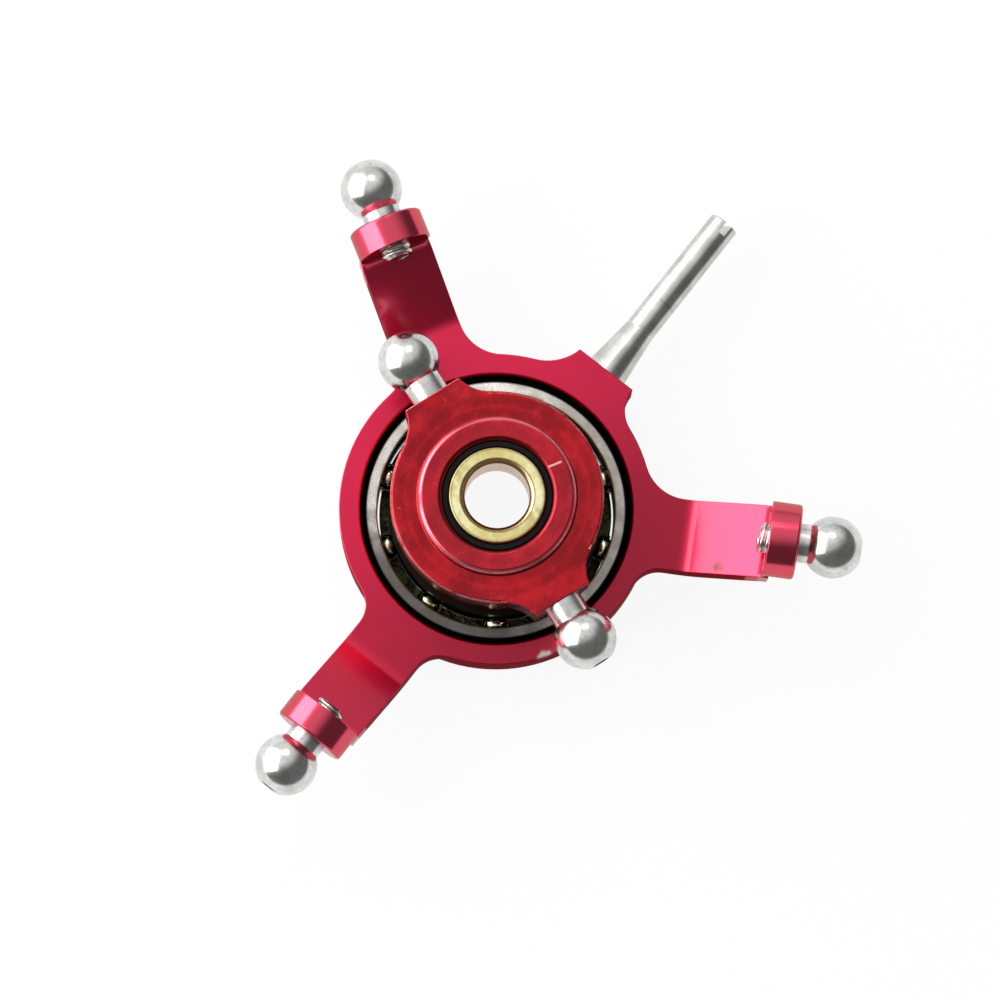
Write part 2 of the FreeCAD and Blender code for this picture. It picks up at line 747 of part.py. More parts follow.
lock_ring = new_body("seat_lock_ring")
ring_top = seat_bottom - fit_play
lock_sketch = new_sketch(lock_ring, "LockRingSection", "XZ_Plane")
lock_radius = ring_thread - thread_play
outline(
    lock_sketch,
    [
        (hub_hole, ring_top),
        (lock_radius - edge_break, ring_top),
        (lock_radius, ring_top - edge_break),
        (lock_radius, ring_bottom + edge_break),
        (lock_radius - edge_break, ring_bottom),
        (ring_thread - ring_rim, ring_bottom),
        (hub_hole, ring_bottom + ring_height / 2),
    ],
)
turn(lock_ring, "LockRing", lock_sketch, "V_Axis")
key_sketch = new_sketch(lock_ring, "KeySlotOutline", "XY_Plane", ring_bottom)
half_key = key_width / 2
outline(
    key_sketch,
    [
        (-half_key, -ring_thread),
        (half_key, -ring_thread),
        (half_key, ring_thread),
        (-half_key, ring_thread),
    ],
)
key_slot = pocket(lock_ring, "KeySlot", key_sketch, key_depth, True)
polar(lock_ring, "KeySlots", [key_slot], term(4))

snap_ring = new_body("snap_ring")
clip_sketch = new_sketch(snap_ring, "SnapRingSection", "XZ_Plane")
outline(
    clip_sketch,
    [
        (sleeve_radius - clip_depth + fit_play, clip_bottom),
        (clip_outer - edge_break, clip_bottom),
        (clip_outer, clip_bottom + edge_break),
        (clip_outer, clip_top - edge_break),
        (clip_outer - edge_break, clip_top),
        (sleeve_radius - clip_depth + fit_play, clip_top),
    ],
)
turn(snap_ring, "SnapRing", clip_sketch, "V_Axis")
gap_sketch = new_sketch(snap_ring, "SnapRingGap", "XY_Plane", clip_bottom)
half_gap = clip_gap / 2
outline(
    gap_sketch,
    [
        (-half_gap, clip_waist),
        (half_gap, clip_waist),
        (half_gap, outer_radius),
        (-half_gap, outer_radius),
    ],
)
pocket(snap_ring, "Gap", gap_sketch, clip_thick, True)

tilting_ball = new_body("uniball")
ball_flat = leg(ball_radius, flat_height)
bore_radius = shaft_bore / 2
uniball_sketch = new_sketch(tilting_ball, "UniballSection", "XZ_Plane")
outline(
    uniball_sketch,
    [
        (bore_radius + bore_chamfer, -flat_height),
        (ball_flat, -flat_height, zero, zero, 1),
        (ball_flat, flat_height),
        (bore_radius + bore_chamfer, flat_height),
        (bore_radius, flat_height - bore_chamfer),
        (bore_radius, bore_chamfer - flat_height),
    ],
)
turn(tilting_ball, "Uniball", uniball_sketch, "V_Axis")

# ---- ball studs ----

link_radius = link_ball / 2
flat_reach = leg(link_radius, link_flat)
collar_meets = leg(link_radius, collar_radius)
shank_radius = stud_thread - thread_play


def new_stud(label, face, centre, thread_end, degrees):
    """A ball stud along +X, its ball at the local origin, then turned to its arm.

    thread_end lists the corners from the collar's face in to the tip.
    """
    stud = new_body(label)
    turn_body(stud, degrees)
    stud.setExpression("Placement.Base.x", (centre * cosine(degrees)).text)
    stud.setExpression("Placement.Base.y", (centre * sine(degrees)).text)
    sketch = new_sketch(stud, label + "_section", "XY_Plane")
    corners = [
        (flat_reach, zero),
        (flat_reach, link_flat, zero, zero, 1),
        (-collar_meets, collar_radius),
        (face - centre, collar_radius),
    ]
    for reach, radius in thread_end:
        corners.append((reach - centre, radius))
    outline(sketch, corners)
    turn(stud, label + "_turned", sketch, "H_Axis")
    socket = new_sketch(stud, label + "_socket", "YZ_Plane", flat_reach)
    corner = hex_across / root(term(3))
    half_across = hex_across / 2
    outline(
        socket,
        [
            (corner, zero),
            (corner / 2, half_across),
            (-(corner / 2), half_across),
            (-corner, zero),
            (-(corner / 2), -half_across),
            (corner / 2, -half_across),
        ],
    )
    pocket(stud, label + "_hexagon", socket, hex_depth)
    return stud


# Where an arm stud's tip is in sight it is turned to the bottom of its thread.
root_radius = shank_radius - thread_depth
arm_stud_tip = boss_inner - tip_proud
arm_thread_end = [
    (boss_outer, shank_radius),
    (boss_inner, shank_radius),
    (boss_inner, root_radius),
    (arm_stud_tip + tip_chamfer, root_radius),
    (arm_stud_tip, root_radius - tip_chamfer),
    (arm_stud_tip, zero),
]
ear_thread_end = [
    (ear_face, shank_radius),
    (ear_stud_tip + tip_chamfer, shank_radius),
    (ear_stud_tip, shank_radius - tip_chamfer),
    (ear_stud_tip, zero),
]
arm_studs = []
for name, degrees in (("arm_stud_far", 90), ("arm_stud_left", 210), ("arm_stud_right", 330)):
    arm_studs.append(new_stud(name, boss_outer, arm_ball_radius, arm_thread_end, term(degrees)))
ear_studs = []
for name, degrees in (("ear_stud_right", ear_angle), ("ear_stud_left", ear_angle + 180)):
    ear_studs.append(new_stud(name, ear_face, ear_ball_radius, ear_thread_end, degrees))

# ---- anti-rotation pin ----

pin = new_body("anti_rotation_pin")
turn_body(pin, term(-90))
pin.setExpression("Placement.Base.z", pin_height.text)
pin_inner = pin_face - pin_thread
pin_tip = pin_face + pin_length
pin_sketch = new_sketch(pin, "PinSection", "XY_Plane")
outline(
    pin_sketch,
    [
        (pin_inner, zero),
        (pin_tip, zero),
        (pin_tip, pin_radius - tip_chamfer / 2),
        (pin_tip - tip_chamfer / 2, pin_radius),
        (pin_face + pin_cone, pin_radius),
        (pin_face, pin_root),
        (pin_face, shank_radius),
        (pin_inner + tip_chamfer, shank_radius),
        (pin_inner, shank_radius - tip_chamfer),
    ],
)
turn(pin, "PinTurned", pin_sketch, "H_Axis")
slot_sketch = new_sketch(pin, "SlotOutline", "YZ_Plane", pin_tip, slot_turn)
half_slot = slot_width / 2
outline(
    slot_sketch,
    [
        (-half_slot, -pin_root),
        (half_slot, -pin_root),
        (half_slot, pin_root),
        (-half_slot, pin_root),
    ],
)
pocket(pin, "Slot", slot_sketch, slot_depth)

doc.recompute()

# ---- check and write ----

pieces = [
    fixed_star,
    outer_race,
    inner_race,
    race_balls,
    cage,
    rotor,
    upper_seat,
    lower_seat,
    lock_ring,
    snap_ring,
    tilting_ball,
    pin,
]
pieces += arm_studs
pieces += ear_studs

for item in doc.Objects:
    for word in item.State:
        if word in ("Invalid", "Error"):
            raise RuntimeError(item.Name + " is " + word)

os.makedirs("parts", exist_ok=True)
for piece in pieces:
    shape = piece.Shape
    if shape.isNull() or not shape.isValid():
        raise RuntimeError(piece.Label + " has no valid shape")
    if not shape.Solids:
        raise RuntimeError(piece.Label + " has no solid")
    print(piece.Label, len(shape.Solids), round(shape.Volume, 3))
    shape.exportStep("parts/" + piece.Label + ".step")
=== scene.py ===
import bpy
import json
import math
from mathutils import Matrix, Vector


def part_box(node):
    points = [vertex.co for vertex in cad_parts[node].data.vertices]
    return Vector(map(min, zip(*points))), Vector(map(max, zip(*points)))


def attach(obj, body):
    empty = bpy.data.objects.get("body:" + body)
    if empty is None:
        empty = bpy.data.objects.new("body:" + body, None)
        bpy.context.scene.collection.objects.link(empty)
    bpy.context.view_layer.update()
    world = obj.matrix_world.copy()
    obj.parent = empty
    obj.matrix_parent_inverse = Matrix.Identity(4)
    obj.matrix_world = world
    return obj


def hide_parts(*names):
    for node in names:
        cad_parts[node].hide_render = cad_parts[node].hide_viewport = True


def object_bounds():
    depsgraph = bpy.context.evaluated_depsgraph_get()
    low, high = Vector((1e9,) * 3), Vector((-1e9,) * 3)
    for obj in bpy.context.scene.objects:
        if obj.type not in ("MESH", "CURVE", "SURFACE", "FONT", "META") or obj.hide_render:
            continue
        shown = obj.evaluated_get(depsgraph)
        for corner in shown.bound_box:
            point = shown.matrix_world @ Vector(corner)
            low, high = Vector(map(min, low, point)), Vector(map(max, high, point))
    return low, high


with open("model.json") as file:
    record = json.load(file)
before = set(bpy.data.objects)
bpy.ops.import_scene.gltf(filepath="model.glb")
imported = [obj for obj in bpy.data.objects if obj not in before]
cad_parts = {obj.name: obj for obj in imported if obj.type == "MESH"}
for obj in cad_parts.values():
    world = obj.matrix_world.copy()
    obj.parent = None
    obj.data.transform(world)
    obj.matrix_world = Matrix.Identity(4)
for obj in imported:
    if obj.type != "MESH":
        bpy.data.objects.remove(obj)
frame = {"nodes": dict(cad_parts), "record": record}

# %% [markdown]
# # Swashplate of a small model helicopter
# The CAD model brings seventeen nodes, each in its real place, in metres. This lesson leaves their
# shapes alone, gives their edges the small rounding that real tools leave, dresses every one in a
# procedural finish, makes the repeated pieces with Geometry Nodes, and lights the whole on a pale
# table. The first thing to keep is the size of the CAD model, because the looks must stay inside it.

# %% Size of the CAD model
cad_low, cad_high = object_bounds()
nodes = frame["nodes"]
mounts = {mount["name"]: mount for mount in frame["record"]["mounts"]}
MM = 0.001
print("CAD box in mm:", [round(v / MM, 2) for v in (*cad_low, *cad_high)])

# %% [markdown]
# ## Arithmetic for finishes
# A finish is a tree of nodes, and a sum such as `1 - mask * 0.5` takes two Math nodes. Placing them
# by hand is slow to write and hard to read, so a small class wraps a socket and turns ordinary
# Python sums into Math nodes. The reflected forms, such as __rsub__, let a number come first.


# %% A socket that can be used in sums
class Flow:
    """One value that varies over a surface."""

    def __init__(self, tree, socket):
        self.tree = tree
        self.socket = socket

    def sum(self, operation, first, second):
        node = self.tree.nodes.new("ShaderNodeMath")
        node.operation = operation
        for socket, value in zip(node.inputs, (first, second)):
            if isinstance(value, Flow):
                self.tree.links.new(value.socket, socket)
            else:
                socket.default_value = value
        return Flow(self.tree, node.outputs[0])

    def __add__(self, other):
        return self.sum("ADD", self, other)

    def __radd__(self, other):
        return self.sum("ADD", other, self)

    def __sub__(self, other):
        return self.sum("SUBTRACT", self, other)

    def __rsub__(self, other):
        return self.sum("SUBTRACT", other, self)

    def __mul__(self, other):
        return self.sum("MULTIPLY", self, other)

    def __rmul__(self, other):
        return self.sum("MULTIPLY", other, self)

    def __truediv__(self, other):
        return self.sum("DIVIDE", self, other)

    def __pow__(self, other):
        return self.sum("POWER", self, other)

    def __abs__(self):
        return self.sum("ABSOLUTE", self, 0)


print("a Flow can be added, subtracted, multiplied, divided and raised to a power")

# %% [markdown]
# ## One way to add any node
# A node needs three things: its settings, which must come first because they can change its sockets,
# then the values of its sockets, and the links into them. One method does all three, and it serves
# shader trees, geometry trees and the world alike. A soft step between two limits is used so often
# that it has a method of its own.


# %% Any tree of nodes
class Tree:
    """Adds nodes to a tree of shader or geometry nodes."""

    def __init__(self, tree):
        self.tree = tree
        self.tree.nodes.clear()

    def node(self, kind, settings=None, sockets=None, output=0):
        """Add a node: its settings first, then the values or links of its sockets."""
        made = self.tree.nodes.new(kind)
        for key, value in (settings or {}).items():
            setattr(made, key, value)
        for key, value in (sockets or {}).items():
            if isinstance(value, Flow):
                self.tree.links.new(value.socket, made.inputs[key])
            else:
                made.inputs[key].default_value = value
        return Flow(self.tree, made.outputs[output]) if made.outputs else made

    def vector(self, x, y, z):
        return self.node("ShaderNodeCombineXYZ", None, {"X": x, "Y": y, "Z": z})

    def along(self, first, second):
        """How far one vector goes along another."""
        return self.node(
            "ShaderNodeVectorMath", {"operation": "DOT_PRODUCT"}, {0: first, 1: second}, "Value"
        )

    def ramp(self, value, low, high, start=0.0, end=1.0):
        """Value from low to high becomes start to end, smoothly and with the ends held."""
        return self.node(
            "ShaderNodeMapRange",
            {"interpolation_type": "SMOOTHSTEP"},
            {"Value": value, "From Min": low, "From Max": high, "To Min": start, "To Max": end},
        )


print("a tree can add", [n for n in vars(Tree) if not n.startswith("_")])

# %% [markdown]
# ## What a finish is made of
# A finish starts from the place on the object, in millimetres, so that a mark can be put where the
# real one is and a grain has its real size. On top of that come soft noise, blends of two colours,
# masks for worn edges and for a single ragged spot, and a fine relief. The worn edge compares the
# normal of a rounded edge with the true one, which differ only where two faces meet.


# %% A finish: one material and the nodes it is made of
class Finish(Tree):
    """Builds one material; most end in a single Principled shader."""

    def __init__(self, name):
        self.material = bpy.data.materials.new(name)
        self.material.use_nodes = True
        super().__init__(self.material.node_tree)

    def place(self):
        """Position on the object in millimetres, as a vector and as x, y and z."""
        point = self.node("ShaderNodeTexCoord", output="Object")
        point = self.node(
            "ShaderNodeVectorMath", {"operation": "SCALE"}, {"Vector": point, "Scale": 1 / MM}
        )
        split = self.node("ShaderNodeSeparateXYZ", None, {"Vector": point})
        axes = [Flow(self.tree, socket) for socket in split.socket.node.outputs]
        return point, axes

    def noise(self, vector, scale, detail=3.0, roughness=0.5):
        """Soft noise of 0 to 1, with `scale` blotches in a millimetre."""
        return self.node(
            "ShaderNodeTexNoise",
            None,
            {"Vector": vector, "Scale": scale, "Detail": detail, "Roughness": roughness},
            "Fac",
        )

    def mix(self, factor, first, second):
        """Blend of two colours; the colour sockets of a Mix node are its numbers 6 and 7."""
        return self.node(
            "ShaderNodeMix", {"data_type": "RGBA"}, {0: factor, 6: first, 7: second}, 2
        )

    def worn_edges(self, width, low, high):
        """1 on edges: the shading normal of a rounded edge leaves the true one there."""
        rounded = self.node("ShaderNodeBevel", {"samples": 6}, {"Radius": width * MM})
        true = self.node("ShaderNodeNewGeometry", output="Normal")
        return self.ramp(1 - self.along(rounded, true), low, high)

    def spot(self, point, centre, size, ragged=0.5):
        """1 in a ragged patch round one place of the object, in millimetres."""
        off = self.node(
            "ShaderNodeVectorMath", {"operation": "DISTANCE"}, {0: point, 1: centre}, "Value"
        )
        edge = self.noise(point, 3.0, 4.0, 0.7)
        return self.ramp(off + (edge - 0.5) * size * ragged * 2, size, size * 0.6)

    def bump(self, height, depth):
        """Normal that carries a relief of `depth` millimetres."""
        return self.node(
            "ShaderNodeBump", None, {"Height": height, "Distance": depth * MM, "Strength": 1.0}
        )

    def shader(self, **values):
        """Principled shader; names are written with underscores for spaces."""
        sockets = {key.replace("_", " "): value for key, value in values.items()}
        body = self.node("ShaderNodeBsdfPrincipled", None, sockets)
        self.node("ShaderNodeOutputMaterial", None, {"Surface": body})
        return self.material


print("a finish can add", [n for n in vars(Finish) if not n.startswith("_")])

# %% [markdown]
# ## Colour as it is read
# Colours are easiest to name as three numbers from 0 to 255, as every colour picker shows them, but
# a shader works in linear light. This helper turns the one into the other, so the finishes below can
# be read.


# %% From picked numbers to linear light
def colour(red, green, blue):
    channels = []
    for channel in (red, green, blue):
        share = channel / 255
        channels.append(share / 12.92 if share <= 0.04045 else ((share + 0.055) / 1.055) ** 2.4)
    return (*channels, 1.0)


print("mid grey in linear light:", [round(c, 3) for c in colour(128, 128, 128)])

# %% [markdown]
# ## Facets that belong together
# A CAD edge is perfectly sharp and shows no highlight, and a Bevel modifier could round it. But the
# CAD facets arrive as loose triangles, which share no edge to bevel. So a small Geometry Nodes tree
# merges their corners first and drops the normals that came with them. It stays live on the CAD
# node, whose own vertices are not touched.


# %% Tree that joins loose facets
def join_tree():
    group = bpy.data.node_groups.new("Join facets", "GeometryNodeTree")
    for way in ("INPUT", "OUTPUT"):
        group.interface.new_socket("Geometry", in_out=way, socket_type="NodeSocketGeometry")
    tree = Tree(group)
    shape = tree.node("NodeGroupInput")
    shape = tree.node(
        "GeometryNodeMergeByDistance", None, {"Geometry": shape, "Distance": 0.001 * MM}
    )
    shape = tree.node(
        "GeometryNodeRemoveAttribute", None, {"Geometry": shape, "Name": "custom_normal"}
    )
    shape = tree.node("GeometryNodeSetShadeSmooth", None, {"Geometry": shape})
    tree.node("NodeGroupOutput", None, {0: shape})
    return group


joined = join_tree()
print("the joining tree has", len(joined.nodes), "nodes")

# %% [markdown]
# ## Edges that catch the light
# Real turned and milled edges are broken by a few hundredths of a millimetre. After the joining,
# Decimate in planar mode turns flat fans of triangles into single faces, Bevel rounds every edge
# sharper than thirty degrees, and Weighted Normal keeps the flats flat. The brass ball and the milled
# star have crisp edges, and the rotating star has the softest.


# %% Rounding for one node
def round_edges(name, width):
    node = nodes[name]
    join = node.modifiers.new("Join facets", "NODES")
    join.node_group = joined
    flat = node.modifiers.new("Join flats", "DECIMATE")
    flat.decimate_type = "DISSOLVE"
    flat.angle_limit = math.radians(0.4)
    bevel = node.modifiers.new("Round edges", "BEVEL")
    bevel.width = width * MM
    bevel.segments = 2
    bevel.limit_method = "ANGLE"
    bevel.angle_limit = math.radians(30)
    bevel.use_clamp_overlap = False
    normals = node.modifiers.new("Flat faces stay flat", "WEIGHTED_NORMAL")
    normals.keep_sharp = True
    print(name, "edges rounded by", width, "mm")


round_edges("outer_star", 0.06)
round_edges("rotating_star", 0.11)
round_edges("uniball", 0.05)

# %% [markdown]
# ## Red anodised aluminium of the fixed star
# Anodising is a dyed, glassy oxide over bright metal: the metal reflects in the colour of the dye,
# and the oxide adds a white gloss on top. A red plastic would lack the first, plain red metal the
# second, so the shader is fully metallic in red under a thin, strongly refracting coat. The bosses
# are turned smooth and get most of the coat; the side walls are dull and carry painted shade, and the
# seat of the bearing is painted near black as shade. Painted light makes the red lighter towards one
# side of the picture and on the raised faces. The dye is a little blotchy, corners are worn pale, and
# the real piece has a chip in its rim and two stains on one arm, each put where it is on the piece.

# %% Fixed star
ring_face = -4.7
seat_edge = 10.5
boss_face = 21.0
rim_chip = (-10.2, 6.85, ring_face)
wide_stain = (-16.47, -6.86, -3.63)
small_stain = (-16.36, -10.36, -3.15)


def anodised_red():
    finish = Finish("red_star")
    point, (x, y, z) = finish.place()
    radius = (x * x + y * y) ** 0.5
    cloud = finish.noise(point, 0.22, 3.0)
    grain = finish.noise(point, 7.0, 4.0, 0.65)
    blotches = finish.ramp(finish.noise(point, 1.3, 4.0, 0.7), 0.58, 0.72)
    # painted light: the red grows lighter towards one side of the picture
    painted_side_light = finish.ramp(x * 0.97 - y * 0.24 + (cloud - 0.5) * 6.0, -12.0, 13.0)
    edges = finish.worn_edges(0.12, 0.05, 0.22)
    edges = edges * finish.ramp(finish.noise(point, 1.6), 0.38, 0.6)
    boss = finish.ramp(radius, boss_face - 0.15, boss_face - 0.05)
    # painted shade: the seat of the bearing is painted near black
    dark_painted_recess = finish.ramp(radius, seat_edge + 0.12, seat_edge)
    dark_painted_recess = dark_painted_recess * finish.ramp(z, ring_face - 0.04, ring_face - 0.14)
    lifted = finish.ramp(z, ring_face - 0.06, ring_face + 0.3)
    upright = finish.node("ShaderNodeNewGeometry", output="Normal")
    upright = finish.node("ShaderNodeSeparateXYZ", None, {"Vector": upright}, "Z")
    # painted shade: side walls are painted darker
    painted_wall_shade = finish.ramp(abs(upright), 0.35, 0.15) * finish.ramp(radius, boss_face - 0.8, boss_face - 1.2)
    chip = finish.spot(point, rim_chip, 0.75)
    stains = finish.spot(point, wide_stain, 0.6, 0.9)
    stains = stains + finish.spot(point, small_stain, 0.24, 0.8) * 0.7
    # painted light: lighter towards one side of the picture and on the raised faces
    face = finish.mix(painted_side_light + lifted, colour(156, 20, 47), colour(214, 33, 74))
    face = finish.mix(painted_wall_shade * 0.75, face, colour(86, 10, 20))
    face = finish.mix(edges * 0.6, face, colour(255, 160, 182))
    face = finish.mix(blotches * 0.12, face, colour(140, 14, 36))
    face = finish.mix(chip, face, colour(196, 178, 178))
    face = finish.mix(stains * 0.9, face, colour(70, 6, 20))
    face = finish.mix(dark_painted_recess * 0.93, face, colour(34, 20, 20))
    return finish.shader(
        Base_Color=face,
        Metallic=1.0,
        Roughness=0.36 + (grain - 0.5) * 0.1 - boss * 0.16 - edges * 0.05 + dark_painted_recess * 0.2,
        Specular_Tint=colour(190, 60, 90),
        Coat_Weight=0.13 + lifted * 0.15 + boss * 0.3 - dark_painted_recess * 0.2 - painted_wall_shade * 0.3,
        Coat_IOR=2.0,
        Coat_Roughness=0.14,
        Normal=finish.bump(grain - chip * 2.0 - stains * 2.0, 0.004),
    )


red_star = anodised_red()
print(red_star.name, "has", len(red_star.node_tree.nodes), "nodes")

# %% [markdown]
# ## Turned red aluminium of the rotating star
# This part comes off a lathe, so its faces carry fine rings round the axis. A wave texture would draw
# them all alike; noise that is read along the distance from the axis only draws perfect circles of
# uneven strength. Smears and nicks are noise stretched to one side. The edges of the hub ring are
# rubbed bright, its outer bevel carries a painted highlight and its mouth a painted shade, and one
# short burr lies across the hub.

# %% Rotating star
flange_face = 1.55
hub_face = 2.35
hub_edge = 6.1
hub_mouth = 4.2
burr_x = -2.01
burr_y = -4.565
burr_turn = math.radians(31.75)


def turned_red():
    finish = Finish("red_rotor")
    point, (x, y, z) = finish.place()
    radius = (x * x + y * y) ** 0.5
    rings = finish.noise(finish.vector(radius * 11.0, 0.0, z * 11.0), 1.0, 4.0, 0.7)
    broad = finish.noise(finish.vector(radius * 1.6, 3.0, z * 1.6), 1.0, 2.0)
    cloud = finish.noise(point, 0.34, 3.0, 0.6)
    patches = finish.ramp(cloud * 0.7 + broad * 0.3, 0.38, 0.62)
    smear = finish.noise(finish.vector(x * 0.9, y * 0.5, z), 1.1, 3.0, 0.6)
    nicks = finish.noise(finish.vector(x * 0.8, y * 3.0, z), 1.6, 5.0, 0.7)
    nicks = finish.ramp(nicks, 0.68, 0.76)
    edges = finish.worn_edges(0.18, 0.03, 0.16)
    edges = edges * finish.ramp(finish.noise(point, 1.1, 4.0), 0.3, 0.52)
    hub = finish.ramp(z, flange_face + 0.05, flange_face + 0.2)
    # painted highlight: the outer bevel of the hub is painted bright pink
    bevel = finish.ramp(z, hub_face - 0.35, hub_face - 0.29)
    bevel = bevel * finish.ramp(z, hub_face - 0.02, hub_face - 0.07)
    bevel = bevel * finish.ramp(radius, hub_edge - 0.8, hub_edge - 0.7)
    # painted shade: the mouth of the hub is painted dark
    painted_mouth_shade = finish.ramp(radius, hub_mouth + 0.42, hub_mouth + 0.3) * hub
    across = (x - burr_x) * math.cos(burr_turn) - (y - burr_y) * math.sin(burr_turn)
    along = (x - burr_x) * math.sin(burr_turn) + (y - burr_y) * math.cos(burr_turn)
    burr = finish.ramp(abs(across + (cloud - 0.5) * 0.3), 0.12, 0.04)
    burr = burr * finish.ramp(abs(along), 0.62, 0.45) * hub
    face = finish.mix(patches, colour(192, 24, 36), colour(146, 14, 26))
    face = finish.mix(finish.ramp(smear, 0.5, 0.75) * 0.35, face, colour(206, 48, 62))
    face = finish.mix(finish.ramp(rings, 0.5, 0.7) * 0.25, face, colour(120, 12, 20))
    face = finish.mix(hub * 0.18, face, colour(222, 60, 80))
    face = finish.mix(nicks * 0.35, face, colour(236, 140, 140))
    face = finish.mix(bevel * finish.ramp(cloud, 0.25, 0.5) * 0.85, face, colour(255, 138, 152))
    face = finish.mix(edges * 0.85, face, colour(255, 158, 166))
    face = finish.mix(burr * 0.8, face, colour(255, 176, 180))
    face = finish.mix(painted_mouth_shade * 0.6, face, colour(96, 10, 22))
    return finish.shader(
        Base_Color=face,
        Metallic=1.0 - edges * 0.5 - nicks * 0.2 - burr * 0.3,
        Roughness=0.31 + (rings - 0.5) * 0.18 + (smear - 0.5) * 0.2 - edges * 0.06,
        Anisotropic=0.4,
        Coat_Weight=0.3,
        Coat_Roughness=0.2,
        Normal=finish.bump(rings + nicks * 0.4 + smear * 0.3 + burr, 0.014),
    )


red_rotor = turned_red()
print(red_rotor.name, "has", len(red_rotor.node_tree.nodes), "nodes")

# %% [markdown]
# ## Brass of the tilting ball
# The ball is turned from brass. Its flat ends show lathe rings, and a strongly anisotropic
# reflection spreads the light across them. Painted light makes the flat ends bright towards the left
# and right of the picture and darker in the two fans between. The round band runs in plastic and is
# smoother; it is painted dark as shade, as are the outer rim of the flat and a line at the edge of the
# chamfer, while the chamfer carries a pale painted reflection. Handling has left greenish and brown
# clouds.

# %% Tilting ball
flat_level = 2.27
flat_edge = 3.65
chamfer_edge = 2.85


def turned_brass():
    finish = Finish("brass")
    point, (x, y, z) = finish.place()
    radius = (x * x + y * y) ** 0.5
    rings = finish.noise(finish.vector(radius * 9.0, 0.0, z * 4.0), 1.0, 4.0, 0.7)
    cloud = finish.noise(point, 1.1, 4.0, 0.6)
    spots = finish.ramp(finish.noise(point, 4.0, 3.0), 0.6, 0.75)
    # painted light and shade: bright towards the left and right of the picture, darker in the fans
    # between
    painted_light_fan = finish.ramp(abs(x * 0.787 + y * 0.617) / radius + (cloud - 0.5) * 0.5, 0.25, 0.85)
    # painted shade: the round band is painted dark
    painted_dark_band = finish.ramp(abs(z), flat_level - 0.03, flat_level - 0.19)
    # painted shade: the outer rim of the flat is painted darker
    painted_rim_shade = finish.ramp(radius, flat_edge - 0.25, flat_edge - 0.03)
    # painted shade: a dark line along the edge of the chamfer
    painted_mouth_shade = finish.ramp(abs(radius - chamfer_edge), 0.09, 0.03)
    # painted reflection: the chamfer is painted a pale tan
    painted_bore_reflection = finish.ramp(radius, chamfer_edge - 0.01, chamfer_edge - 0.15)
    face = finish.mix(finish.ramp(cloud, 0.38, 0.64), colour(255, 250, 196), colour(222, 210, 140))
    face = finish.mix((1 - painted_light_fan) * 0.5, face, colour(176, 156, 88))
    face = finish.mix(spots * 0.3, face, colour(130, 120, 66))
    face = finish.mix(painted_rim_shade * 0.6, face, colour(120, 100, 52))
    face = finish.mix(painted_dark_band * 0.7, face, colour(120, 88, 45))
    face = finish.mix(painted_bore_reflection * 0.6, face, colour(226, 178, 128))
    face = finish.mix(painted_mouth_shade * 0.8, face, colour(96, 74, 40))
    return finish.shader(
        Base_Color=face,
        Metallic=1.0,
        Roughness=0.34 + (cloud - 0.5) * 0.2 - painted_dark_band * 0.12,
        Anisotropic=0.8,
        Normal=finish.bump(rings, 0.01),
    )


brass = turned_brass()
print(brass.name, "has", len(brass.node_tree.nodes), "nodes")

# %% [markdown]
# ## Ground steel of the bearing
# Bearing races are ground: smooth, with the faintest rings, and wet with a film of grease that has
# gone golden at the inner edge. One side of the face is painted dark as shade. The outer race shows
# its clean face; its corners and the whole inner race lie deep between dark walls, and they are
# painted near black as shade. So one function makes both, and a number says how much painted shade
# covers the whole steel.

# %% Bearing races
race_face = 9.7
race_land = 9.2
race_chamfer = 10.05


def ground_steel(name, painted_shade):
    finish = Finish(name)
    point, (x, y, z) = finish.place()
    radius = (x * x + y * y) ** 0.5
    rings = finish.noise(finish.vector(radius * 14.0, 0.0, z * 14.0), 1.0, 4.0, 0.6)
    cloud = finish.noise(point, 0.6, 3.0)
    pits = finish.noise(point, 9.0, 4.0, 0.7)
    grease = finish.ramp(radius, race_land + 0.3, race_land + 0.1) * finish.ramp(cloud, 0.38, 0.56)
    # painted shade: the corners of the race are painted near black
    corner = finish.ramp(radius, race_chamfer - 0.15, race_chamfer)
    corner = corner + finish.ramp(radius, race_land + 0.14, race_land + 0.06)
    # painted shade: one side of the face is painted dark
    painted_side_shade = finish.ramp((y * 0.98 - x * 0.2) / race_face + (cloud - 0.5) * 0.5, 0.3, 0.8)
    face = finish.mix(finish.ramp(cloud, 0.3, 0.7), colour(208, 203, 197), colour(172, 167, 160))
    face = finish.mix(finish.ramp(pits, 0.5, 0.66) * 0.5, face, colour(120, 116, 110))
    face = finish.mix(grease * 0.7, face, colour(170, 125, 50))
    face = finish.mix(painted_side_shade * 0.75, face, colour(58, 50, 48))
    face = finish.mix(corner * 0.93, face, colour(30, 22, 20))
    # painted shade over the whole race, as strong as the number says
    face = finish.mix(painted_shade * (0.75 + (cloud - 0.5) * 0.4), face, colour(32, 29, 21))
    return finish.shader(
        Base_Color=face,
        Metallic=1.0,
        Roughness=0.28 + (rings - 0.5) * 0.2 + (cloud - 0.5) * 0.1 + corner * 0.15,
        Normal=finish.bump(rings + pits * 0.5, 0.004),
    )


race_steel = ground_steel("race_steel", 0.0)
# painted shade: the inner race is painted near black all over
greasy_race_steel = ground_steel("greasy_race_steel", 1.1)
print(race_steel.name, "and", greasy_race_steel.name, "are ready")

# %% [markdown]
# ## Bright steel of the ball studs
# Link balls are polished, while their collars and threads are only turned and a little darker. The
# lathe marks run round the stud's own axis, and the five studs point in five directions. Turning one
# pattern to each is error-prone, so the record of each link ball's mount gives the direction, and
# the distance along it draws the marks and tells the ball from its shank.


